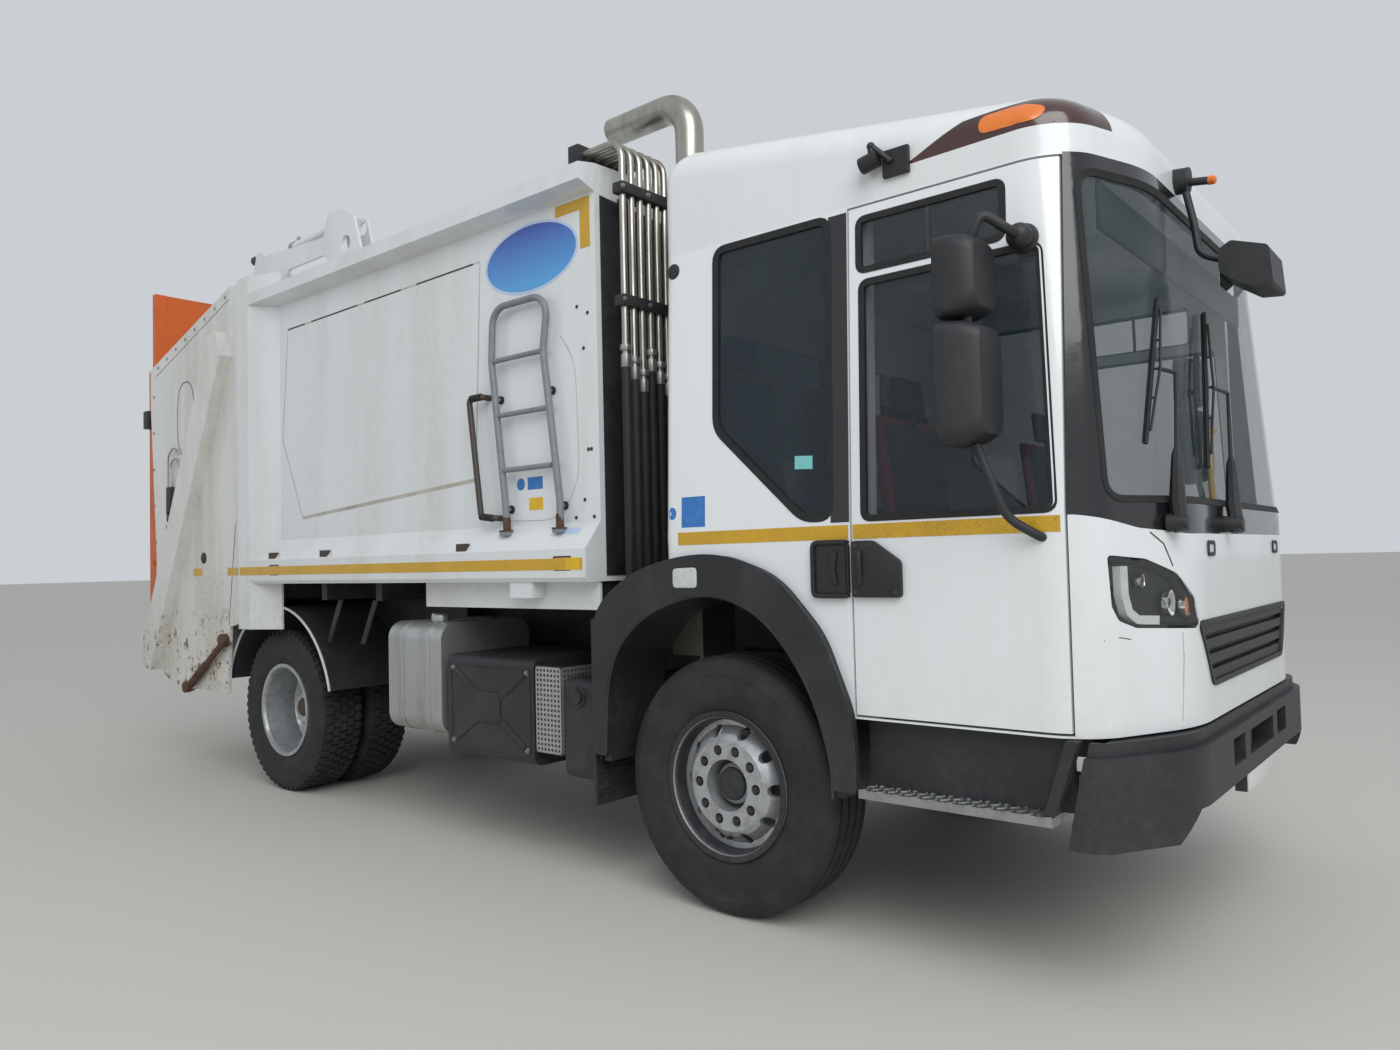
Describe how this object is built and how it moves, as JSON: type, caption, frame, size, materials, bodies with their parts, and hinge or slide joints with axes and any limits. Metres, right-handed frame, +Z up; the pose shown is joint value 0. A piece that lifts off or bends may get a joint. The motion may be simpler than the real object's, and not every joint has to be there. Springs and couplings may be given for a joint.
{
  "type": "garbage truck",
  "caption": "Rear-loading refuse truck with a low-entry crew cab, compaction body, raising tailgate, tipping bin lift, steered front wheels and twin rear wheels.",
  "frame": {"origin": "on the ground under the centre of the bounding box", "axes": "+Z up, the truck faces -Y, its right-hand side is -X"},
  "size_m": [2.95, 7.754, 3.6679],
  "materials": {
    "white_paint": "gloss white paint",
    "white_moulding": "gloss white moulding",
    "chassis_paint": "satin black chassis paint",
    "cast_block": "cast iron",
    "black_plastic": "matt black plastic",
    "black_gloss": "gloss black",
    "amber_lens": "amber lens",
    "red_lens": "red lens",
    "tinted_glass": "tinted glass",
    "seat_fabric": "grey seat fabric",
    "stainless": "brushed stainless steel",
    "wheel_steel": "silver wheel",
    "tank_aluminium": "plain aluminium",
    "grey_tube": "grey paint",
    "orange_paint": "orange paint",
    "tyre_rubber": "black tyre rubber",
    "steel_parts": "dark painted steel",
    "ram_chrome": "hard chrome"
  },
  "bodies": {
    "chassis": {"chassis_frame": "chassis_paint", "body_subframe": "chassis_paint", "engine_block": "cast_block", "front_axle": "chassis_paint", "rear_axle": "chassis_paint", "cab_shell": "white_paint", "cab_glass": "tinted_glass", "front_panel": "white_moulding", "headlamps": "black_gloss", "grille": "black_plastic", "screen_surround": "black_gloss", "windscreen": "tinted_glass", "beacon_lenses": "amber_lens", "cab_roof": "white_moulding", "bumper": "black_plastic", "cab_steps": "tank_aluminium", "front_arches": "black_plastic", "cab_floor": "black_plastic", "seats": "seat_fabric", "dashboard": "black_plastic", "hydraulic_pipes": "stainless", "exhaust_stack": "stainless", "fuel_tank": "tank_aluminium", "side_box": "black_plastic", "additive_tank": "black_plastic", "battery_box": "black_plastic", "air_reservoirs": "chassis_paint", "rear_mudguards": "black_plastic", "body_shell": "white_paint", "side_ladder": "grey_tube", "roof_fittings": "black_plastic", "body_handles": "steel_parts"},
    "ejector": {"ejector_plate": "steel_parts"},
    "tailgate": {"tailgate_shell": "white_paint", "tailgate_beams": "white_paint", "tail_lamps": "red_lens", "packer_carriage": "steel_parts", "lift_frame": "orange_paint"},
    "sweep": {"sweep_blade": "steel_parts"},
    "lift_chair": {"lift_chair": "orange_paint"},
    "door_right": {"door_right": "white_paint", "door_glass_right": "tinted_glass", "door_fittings_right": "black_plastic"},
    "knuckle_right": {"knuckle_right": "chassis_paint"},
    "front_wheel_right": {"tyre_front_right": "tyre_rubber", "wheel_front_right": "wheel_steel"},
    "rear_wheel_right": {"tyres_rear_right": "tyre_rubber", "wheel_rear_right": "wheel_steel"},
    "ram_barrel_right": {"ram_barrel_right": "chassis_paint"},
    "ram_rod_right": {"ram_rod_right": "ram_chrome"},
    "door_left": {"door_left": "white_paint", "door_glass_left": "tinted_glass", "door_fittings_left": "black_plastic"},
    "knuckle_left": {"knuckle_left": "chassis_paint"},
    "front_wheel_left": {"tyre_front_left": "tyre_rubber", "wheel_front_left": "wheel_steel"},
    "rear_wheel_left": {"tyres_rear_left": "tyre_rubber", "wheel_rear_left": "wheel_steel"},
    "ram_barrel_left": {"ram_barrel_left": "chassis_paint"},
    "ram_rod_left": {"ram_rod_left": "ram_chrome"}
  },
  "joints": [
    {"name": "steer_right", "type": "hinge", "parent": "chassis", "child": "knuckle_right", "pos_m": [-0.94, -1.9825, 0.52], "axis": [0, 0, 1], "range_deg": [-35, 35]},
    {"name": "front_wheel_spin_right", "type": "hinge", "parent": "knuckle_right", "child": "front_wheel_right", "pos_m": [-1.045, -1.9825, 0.52], "axis": [1, 0, 0], "continuous": true},
    {"name": "rear_wheel_spin_right", "type": "hinge", "parent": "chassis", "child": "rear_wheel_right", "pos_m": [-0.7875, 1.7575, 0.52], "axis": [1, 0, 0], "continuous": true},
    {"name": "door_hinge_right", "type": "hinge", "parent": "chassis", "child": "door_right", "pos_m": [-1.2, -3.3925, 1.7], "axis": [0, 0, 1], "range_deg": [0, 75]},
    {"name": "steer_left", "type": "hinge", "parent": "chassis", "child": "knuckle_left", "pos_m": [0.94, -1.9825, 0.52], "axis": [0, 0, 1], "range_deg": [-35, 35]},
    {"name": "front_wheel_spin_left", "type": "hinge", "parent": "knuckle_left", "child": "front_wheel_left", "pos_m": [1.045, -1.9825, 0.52], "axis": [1, 0, 0], "continuous": true},
    {"name": "rear_wheel_spin_left", "type": "hinge", "parent": "chassis", "child": "rear_wheel_left", "pos_m": [0.7875, 1.7575, 0.52], "axis": [1, 0, 0], "continuous": true},
    {"name": "door_hinge_left", "type": "hinge", "parent": "chassis", "child": "door_left", "pos_m": [1.2, -3.3925, 1.7], "axis": [0, 0, -1], "range_deg": [0, 75]},
    {"name": "ejector_slide", "type": "slide", "parent": "chassis", "child": "ejector", "axis": [0, 1, 0], "range_m": [0, 2.2]},
    {"name": "tailgate_hinge", "type": "hinge", "parent": "chassis", "child": "tailgate", "pos_m": [0, 1.9825, 3.44], "axis": [1, 0, 0], "range_deg": [0, 75]},
    {"name": "sweep_hinge", "type": "hinge", "parent": "tailgate", "child": "sweep", "pos_m": [0, 2.7975, 2.05], "axis": [1, 0, 0], "range_deg": [-10, 15]},
    {"name": "lift_hinge", "type": "hinge", "parent": "tailgate", "child": "lift_chair", "pos_m": [0, 3.6675, 1.5], "axis": [1, 0, 0], "range_deg": [0, 135]},
    {"name": "ram_pivot_right", "type": "hinge", "parent": "chassis", "child": "ram_barrel_right", "pos_m": [-1, 1.0845, 3.585], "axis": [1, 0, 0], "range_deg": [0, 3]},
    {"name": "ram_slide_right", "type": "slide", "parent": "ram_barrel_right", "child": "ram_rod_right", "axis": [0, 0.9995, -0.032], "range_m": [-0.19, 0]},
    {"name": "ram_pivot_left", "type": "hinge", "parent": "chassis", "child": "ram_barrel_left", "pos_m": [1, 1.0845, 3.585], "axis": [1, 0, 0], "range_deg": [0, 3]},
    {"name": "ram_slide_left", "type": "slide", "parent": "ram_barrel_left", "child": "ram_rod_left", "axis": [0, 0.9995, -0.032], "range_m": [-0.19, 0]}
  ],
  "couplings": [
    {"joint": "steer_left", "follows": "steer_right", "ratio": 1},
    {"joint": "ram_slide_right", "follows": "tailgate_hinge", "m_per_rad": -0.14141},
    {"joint": "ram_slide_left", "follows": "tailgate_hinge", "m_per_rad": -0.14141}
  ]
}
